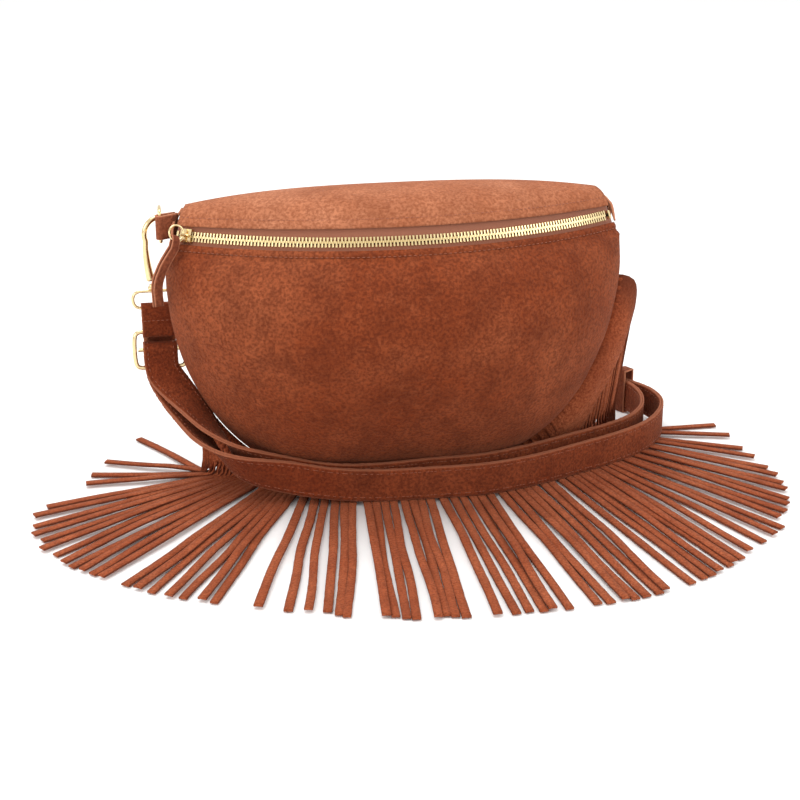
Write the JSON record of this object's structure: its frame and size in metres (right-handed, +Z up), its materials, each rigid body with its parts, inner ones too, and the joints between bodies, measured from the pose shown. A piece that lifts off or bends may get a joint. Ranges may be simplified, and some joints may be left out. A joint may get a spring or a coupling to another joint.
{
  "type": "fringed suede crossbody bag",
  "caption": "Half-moon zipped suede bag with long cut fringe along its curved seam, snap hooks, a buckle and a doubled flat shoulder strap lying round its base",
  "frame": {"origin": "on the floor at the middle of the base, just in front of the lowest point of the side seam", "axes": "+X to the bag's right end as its front is looked at, -Y to its front, +Z up"},
  "size_m": [0.5207, 0.3261, 0.2128],
  "materials": {
    "back_panel": "napped rust suede",
    "buckle_bar": "polished pale gold plate",
    "buckle_frame": "polished pale gold plate",
    "fringe": "napped rust suede",
    "front_panel": "napped rust suede",
    "left_corner_patch": "napped suede, darker",
    "left_corner_tab": "napped suede, darker",
    "left_d_ring": "polished pale gold plate",
    "left_hook_body": "polished pale gold plate",
    "left_hook_gate": "polished pale gold plate",
    "left_hook_thumb_knob": "polished pale gold plate",
    "left_link_tab": "napped rust suede",
    "left_strap_ring": "polished pale gold plate",
    "left_swivel_stud": "polished pale gold plate",
    "lining": "plain woven lining",
    "pull_bridge": "polished pale gold plate",
    "pull_ring": "polished pale gold plate",
    "pull_thong": "napped suede, darker",
    "right_corner_patch": "napped suede, darker",
    "right_corner_tab": "napped suede, darker",
    "right_d_ring": "polished pale gold plate",
    "right_hook_body": "polished pale gold plate",
    "right_hook_gate": "polished pale gold plate",
    "right_hook_thumb_knob": "polished pale gold plate",
    "right_strap_ring": "polished pale gold plate",
    "right_swivel_stud": "polished pale gold plate",
    "strap": "napped rust suede",
    "strap_keeper": "napped suede, darker",
    "top_panel": "napped rust suede",
    "zip_slider": "polished pale gold plate",
    "zip_stop_left": "polished pale gold plate",
    "zip_stop_right": "polished pale gold plate",
    "zip_tape_lower": "woven zip tape",
    "zip_tape_upper": "woven zip tape",
    "zip_teeth_lower": "polished pale gold plate",
    "zip_teeth_upper": "polished pale gold plate"
  },
  "bodies": {
    "bag": {"back_panel": "back_panel", "buckle_bar": "buckle_bar", "buckle_frame": "buckle_frame", "fringe": "fringe", "front_panel": "front_panel", "left_corner_patch": "left_corner_patch", "left_corner_tab": "left_corner_tab", "left_link_tab": "left_link_tab", "left_strap_ring": "left_strap_ring", "left_swivel_stud": "left_swivel_stud", "lining": "lining", "right_corner_patch": "right_corner_patch", "right_corner_tab": "right_corner_tab", "right_strap_ring": "right_strap_ring", "right_swivel_stud": "right_swivel_stud", "strap": "strap", "strap_keeper": "strap_keeper", "top_panel": "top_panel", "zip_stop_left": "zip_stop_left", "zip_stop_right": "zip_stop_right", "zip_tape_lower": "zip_tape_lower", "zip_tape_upper": "zip_tape_upper", "zip_teeth_lower": "zip_teeth_lower", "zip_teeth_upper": "zip_teeth_upper"},
    "slider": {"zip_slider": "zip_slider", "pull_bridge": "pull_bridge"},
    "pull": {"pull_ring": "pull_ring", "pull_thong": "pull_thong"},
    "left_ring": {"left_d_ring": "left_d_ring"},
    "right_ring": {"right_d_ring": "right_d_ring"},
    "left_hook": {"left_hook_body": "left_hook_body"},
    "right_hook": {"right_hook_body": "right_hook_body"},
    "left_gate": {"left_hook_gate": "left_hook_gate", "left_hook_thumb_knob": "left_hook_thumb_knob"},
    "right_gate": {"right_hook_gate": "right_hook_gate", "right_hook_thumb_knob": "right_hook_thumb_knob"}
  },
  "joints": [
    {"name": "zip_run", "type": "hinge", "parent": "bag", "child": "slider", "pos_m": [0, 0.20137, 0.16975], "axis": [0, 0.0672, 0.9977], "range_deg": [0, 68], "deforming": ["pull_thong"]},
    {"name": "pull_swing", "type": "hinge", "parent": "slider", "child": "pull", "pos_m": [-0.14298, -0.00028, 0.18604], "axis": [0.2439, 0.4052, 0.8811], "range_deg": [0, 12]},
    {"name": "left_ring_turn", "type": "hinge", "parent": "bag", "child": "left_ring", "pos_m": [-0.1572, 0.013, 0.188], "axis": [0, 0, 1], "range_deg": [-6, 6]},
    {"name": "right_ring_turn", "type": "hinge", "parent": "bag", "child": "right_ring", "pos_m": [0.153, 0.035, 0.176], "axis": [0, 0, 1], "range_deg": [-6, 6]},
    {"name": "left_hook_swivel", "type": "hinge", "parent": "bag", "child": "left_hook", "pos_m": [-0.16491, 0.02913, 0.142], "axis": [0, 0, 1], "range_deg": [-8, 8]},
    {"name": "right_hook_swivel", "type": "hinge", "parent": "bag", "child": "right_hook", "pos_m": [0.1554, 0.05, 0.13], "axis": [0, 0, 1], "range_deg": [-8, 8]},
    {"name": "left_gate_open", "type": "hinge", "parent": "left_hook", "child": "left_gate", "pos_m": [-0.16061, 0.03004, 0.1482], "axis": [-0.2079, 0.9781, 0], "range_deg": [-25, 0], "stiffness_Nm_per_rad": 0.02, "springref_deg": 5.73},
    {"name": "right_gate_open", "type": "hinge", "parent": "right_hook", "child": "right_gate", "pos_m": [0.151, 0.05, 0.1362], "axis": [0, -1, 0], "range_deg": [-25, 0], "stiffness_Nm_per_rad": 0.02, "springref_deg": 5.73}
  ]
}
